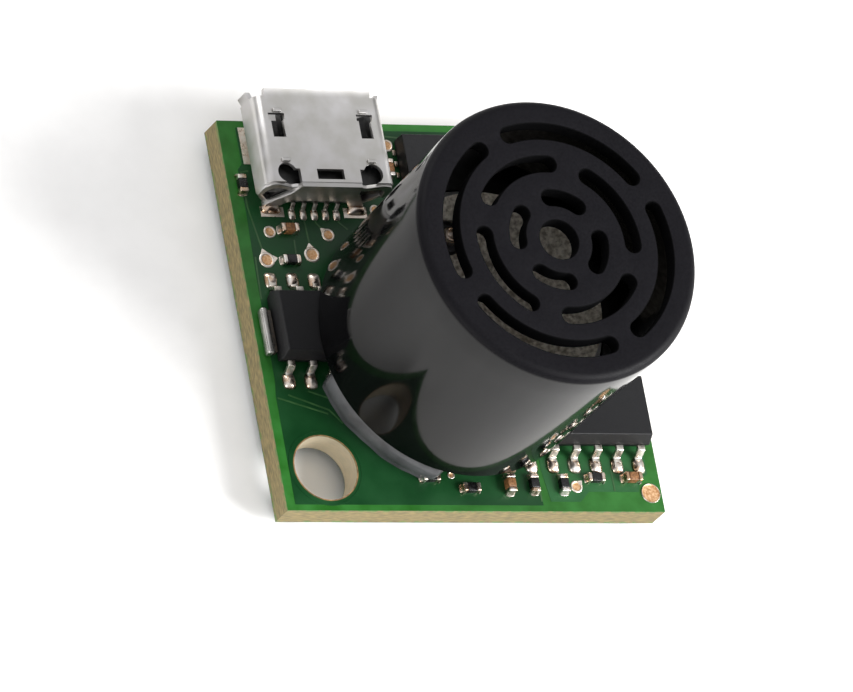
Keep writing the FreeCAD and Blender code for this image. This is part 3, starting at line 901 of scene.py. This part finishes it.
# the walls of the openings: a quarter round below the face, then straight down
wall_rows = []
for angle in np.radians(np.linspace(0, 90, 6)):
    wall_rows.append((slot_round * (1 - math.sin(angle)),
                      front_z - slot_round * (1 - math.cos(angle))))
wall_rows.append((0.0, ceiling_z))
row_loops = [openings(grow) for grow, _ in wall_rows]
wall_parts = []
for number in range(len(row_loops[0])):
    rows = [np.column_stack((loops[number], np.full(len(loops[number]), z)))
            for loops, (_, z) in zip(row_loops, wall_rows)]
    size = len(rows[0])
    faces = []
    for row in range(len(rows) - 1):
        a = row * size + np.arange(size)
        b = row * size + (np.arange(size) + 1) % size
        faces += np.stack((a, b, b + size, a + size), axis=-1).tolist()
    wall_parts.append((np.vstack(rows), faces))
wall_points, wall_faces = joined(wall_parts)

housing_points, housing_faces = joined([
    (side_points, side_faces), (front_points, front_faces),
    (back_points, back_faces[:, ::-1]), (wall_points, wall_faces),
])
front_groups = [1] * (len(front_faces) + len(back_faces)) + [2] * len(wall_faces)
housing = new_piece("housing_cup", housing_points, housing_faces, [gloss, matte, slot_wall_shade],
                    side_groups + front_groups)
outward_faces(housing, 1e-7)
housing.data.set_sharp_from_angle(angle=math.radians(40))
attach(housing, root)
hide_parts("transducer_housing")

# ---- Inside the transducer ---------------------------------------------------
# A dull spun aluminium cone over a brass bender and its piezo disc, on a
# silicone seal, with two black terminal posts and their solder.
cone, cone_shader = new_finish("etched_spun_aluminium", "#cfc6b4", 0.6)
grain(cone, cone_shader, 0.25, 0.012, (0.35, 0.65), ("#9d937f", "#f3ecdc"))
brass, brass_shader = new_finish("rolled_brass", "#b39b62", 0.35, metallic=1.0)
grain(brass, brass_shader, 0.4, 0.003, (0.28, 0.45), ("#a08850", "#c6b078"))
ceramic, ceramic_shader = new_finish("silvered_piezo_ceramic", "#c9c4b8", 0.5)
grain(ceramic, ceramic_shader, 0.2, 0.004, (0.4, 0.6), ("#bab4a6", "#d8d4ca"))
rubber, rubber_shader = new_finish("cured_silicone", "#c2c2c0", 0.6)
grain(rubber, rubber_shader, 0.6, 0.01, (0.5, 0.7), ("#b4b4b2", "#d0d0ce"))
inner_plastic, inner_shader = new_finish("black_moulded_insert", "#0d0d0d", 0.35)
grain(inner_plastic, inner_shader, 0.3, 0.004, (0.28, 0.45), ("#0a0a0a", "#161616"))
wire_copper, wire_shader = new_finish("tinned_copper_wire", "#c08a62", 0.35, metallic=1.0)
grain(wire_copper, wire_shader, 0.2, 0.002, (0.28, 0.45), ("#ad7850", "#d0a080"))
for node, material in (
    ("cone_resonator", cone), ("bender_plate", brass), ("piezo_disc", ceramic),
    ("silicone_seal", rubber), ("support_ring", inner_plastic),
    ("transducer_base", inner_plastic), ("terminal_pins", tin), ("lead_wires", wire_copper),
):
    paint(node, material)
piece = rounded_copy("terminal_posts", 0.06, 3)
repaint(piece, inner_plastic)
beads = []
for low, high in solids_of("terminal_solder"):
    wide = (high[0] - low[0]) / 2
    tall = high[2] - low[2]
    beads.append(lathe((
        (0, low[2] + 0.35 * tall), (0.3 * wide, low[2] + 0.3 * tall),
        (0.5 * wide, low[2] + 0.85 * tall), (0.68 * wide, high[2]),
        (0.86 * wide, low[2] + 0.75 * tall), (wide, low[2]), (0, low[2]),
    ), (low + high) / 2, 32))
piece = new_piece("terminal_solder_rings", *joined(beads), [solder])
outward_faces(piece)
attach(piece, root)
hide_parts("terminal_solder")

# ---- Solder joints on the back -----------------------------------------------
# Hand-soldered cones: the profile is hollow, wide on the board and steep at
# the pin.
cones = []
for low, high in solids_of("back_solder_joints"):
    middle = (low + high) / 2
    radius = (high[0] - low[0]) / 2
    tall = high[2] - low[2]
    profile = [(0, high[2])]
    for share in np.linspace(0, 1, 10):
        profile.append((radius * (0.36 + 0.64 * (1 - share) ** 2.2), high[2] - tall * share))
    profile.append((0, low[2]))
    cones.append(lathe(profile, middle, 36))
piece = new_piece("pin_joints", *joined(cones), [solder])
outward_faces(piece)
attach(piece, root)
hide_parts("back_solder_joints")

# ---- Adhesive bead -----------------------------------------------------------
# Grey translucent adhesive laid by hand: a bead whose outer side bulges low and
# tucks in under the cup, uneven along its length, ending in a round blob.
glue, glue_shader = new_finish("grey_clear_adhesive", "#505153", 0.2, ior=1.4)
grain(glue, glue_shader, 1.6, 0.004, (0.16, 0.26), ("#444446", "#5e5f61"))
bead_low, bead_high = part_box("adhesive_bead")
along = np.linspace(0, 1, 90)
angle = np.radians(191 + 68 * along)
# three slow waves of (size in millimetres, turns along the bead, phase)
wander = sum(
    size * np.sin(2 * np.pi * turns * along + phase)
    for size, turns, phase in ((0.05, 1.3, 0.4), (0.03, 3.1, 1.7), (0.012, 7.0, 0.2))
)
swell = np.clip(np.minimum(along, 1 - along) * 14, 0, 1) ** 0.5
section = np.linspace(0, 1, 18)
up = np.tile(section, (len(along), 1))
lift = (bead_high.z - bead_low.z) * up
bulge = 0.2 * np.sin(np.pi * np.clip(1.15 - up, 0, 1)) - 0.3 * up ** 2
mean_reach = 7.5 + 0.08 * along[:, None]
uneven = (bulge + wander[:, None]) * swell[:, None]
reach = (mean_reach + uneven - 0.9 * (1 - swell[:, None])) * MM
outer = np.stack((
    axis[0] + reach * np.cos(angle)[:, None],
    axis[1] + reach * np.sin(angle)[:, None],
    bead_low.z + lift,
), axis=-1)
back_reach = (6.1 + 0.6 * (1 - swell)) * MM
inner = np.stack((
    np.repeat((axis[0] + back_reach * np.cos(angle))[:, None], 2, axis=1),
    np.repeat((axis[1] + back_reach * np.sin(angle))[:, None], 2, axis=1),
    np.repeat(np.array([[bead_high.z, bead_low.z]]), len(along), axis=0),
), axis=-1)
rings = np.concatenate((outer, inner), axis=1)
count = rings.shape[1]
index = np.arange(rings.shape[0] * count).reshape(-1, count)
following = np.roll(index, -1, axis=1)
quads = np.stack((index[:-1], following[:-1], following[1:], index[1:]), axis=-1).reshape(-1, 4)
faces = quads.tolist() + [index[0][::-1].tolist(), index[-1].tolist()]
bead = new_piece("glue_bead", rings.reshape(-1, 3), faces, [glue])
outward_faces(bead)
bead.data.set_sharp_from_angle(angle=math.radians(50))
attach(bead, root)
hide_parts("adhesive_bead")
